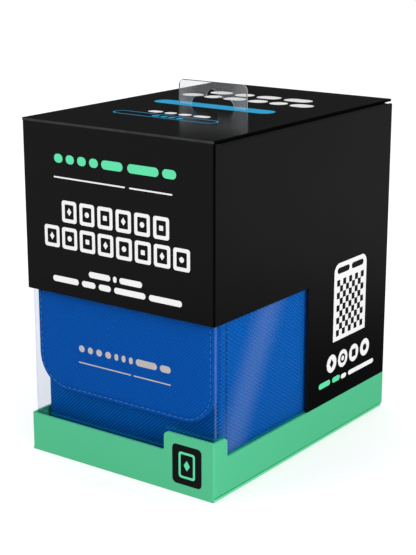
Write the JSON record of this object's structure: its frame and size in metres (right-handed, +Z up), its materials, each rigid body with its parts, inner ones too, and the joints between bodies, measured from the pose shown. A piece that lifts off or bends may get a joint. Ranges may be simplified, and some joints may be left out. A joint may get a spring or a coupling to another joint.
{
  "type": "trading card display case",
  "caption": "Retail pack of a card case: printed carton with a hinged lid, clear window and folding hang tab, holding a leatherette box case with a hinged lid and magnetic front flap.",
  "frame": {"origin": "centre of the carton's underside", "axes": "+Z up, +X to the right seen from the window's front, the window faces -Y"},
  "size_m": [0.107, 0.15, 0.1719],
  "materials": {
    "carton_black": "matt printed black with a soft sheen",
    "carton_green": "matt printed green with a soft sheen",
    "carton_two_tone": "matt printed, black above and green below",
    "clear_film": "clear glossy film",
    "clear_tab": "clear glossy sheet",
    "adhesive": "clear tacky layer",
    "leatherette": "cross-grained leatherette, satin",
    "greyboard": "raw grey board",
    "lining": "short soft pile",
    "magnet": "plated disc",
    "thread": "twisted sewing thread"
  },
  "bodies": {
    "carton": {"carton_front_top": "carton_black", "carton_front_band": "carton_green", "carton_right_panel": "carton_two_tone", "carton_left_panel": "carton_two_tone", "carton_back_panel": "carton_two_tone", "carton_glue_flap": "carton_black", "carton_bottom_panel": "carton_green", "bottom_tuck_flap": "carton_green", "bottom_dust_flap_right": "carton_green", "bottom_dust_flap_left": "carton_green", "window_film": "clear_film"},
    "lid": {"carton_lid": "carton_black", "hang_tab_foot": "clear_tab", "hang_tab_adhesive": "adhesive"},
    "lid_tuck": {"lid_tuck_flap": "carton_black"},
    "dust_right": {"lid_dust_flap_right": "carton_black"},
    "dust_left": {"lid_dust_flap_left": "carton_black"},
    "tab": {"hang_tab": "clear_tab"},
    "case_box": {"case_cover": "leatherette", "case_front_board": "greyboard", "case_back_board": "greyboard", "case_right_board": "greyboard", "case_left_board": "greyboard", "case_floor_board": "greyboard", "case_lining": "lining", "case_magnets": "magnet", "case_stitching": "thread"},
    "case_top": {"case_lid_cover": "leatherette", "case_lid_board": "greyboard", "case_lid_lining": "lining", "case_hinge_strip": "leatherette", "flap_fold_strip": "leatherette"},
    "case_flap": {"flap_cover": "leatherette", "flap_board": "greyboard", "flap_lining": "lining", "flap_magnets": "magnet", "flap_stitching": "thread"}
  },
  "joints": [
    {"name": "carton_lid_open", "type": "hinge", "parent": "carton", "child": "lid", "pos_m": [0, -0.075, 0.16], "axis": [1, 0, 0], "range_deg": [0, 180]},
    {"name": "lid_tuck_unfold", "type": "hinge", "parent": "lid", "child": "lid_tuck", "pos_m": [0, 0.0734, 0.16], "axis": [1, 0, 0], "range_deg": [0, 60]},
    {"name": "dust_flap_right_open", "type": "hinge", "parent": "carton", "child": "dust_right", "pos_m": [0.0535, 0, 0.1584], "axis": [0, 1, 0], "range_deg": [0, 99.5]},
    {"name": "dust_flap_left_open", "type": "hinge", "parent": "carton", "child": "dust_left", "pos_m": [-0.0535, 0, 0.1584], "axis": [0, -1, 0], "range_deg": [0, 99.5]},
    {"name": "hang_tab_fold", "type": "hinge", "parent": "lid", "child": "tab", "pos_m": [-0.0016, 0, 0.1603], "axis": [1, 0, 0], "range_deg": [-80, 80], "stiffness_Nm_per_rad": 0.005},
    {"name": "case_rise", "type": "slide", "parent": "carton", "child": "case_box", "axis": [0, 0, 1], "range_m": [0, 0.0018]},
    {"name": "case_lid_lift", "type": "hinge", "parent": "case_box", "child": "case_top", "pos_m": [0, 0.0685, 0.149], "axis": [-1, 0, 0], "range_deg": [0, 0.4]},
    {"name": "case_flap_swing", "type": "hinge", "parent": "case_top", "child": "case_flap", "pos_m": [0, -0.0662, 0.149], "axis": [-1, 0, 0], "range_deg": [0, 0.4]}
  ],
  "couplings": [
    {"joint": "lid_tuck_unfold", "follows": "carton_lid_open", "ratio": 0.33333},
    {"joint": "dust_flap_right_open", "follows": "carton_lid_open", "ratio": 0.55},
    {"joint": "dust_flap_left_open", "follows": "carton_lid_open", "ratio": 0.55}
  ]
}
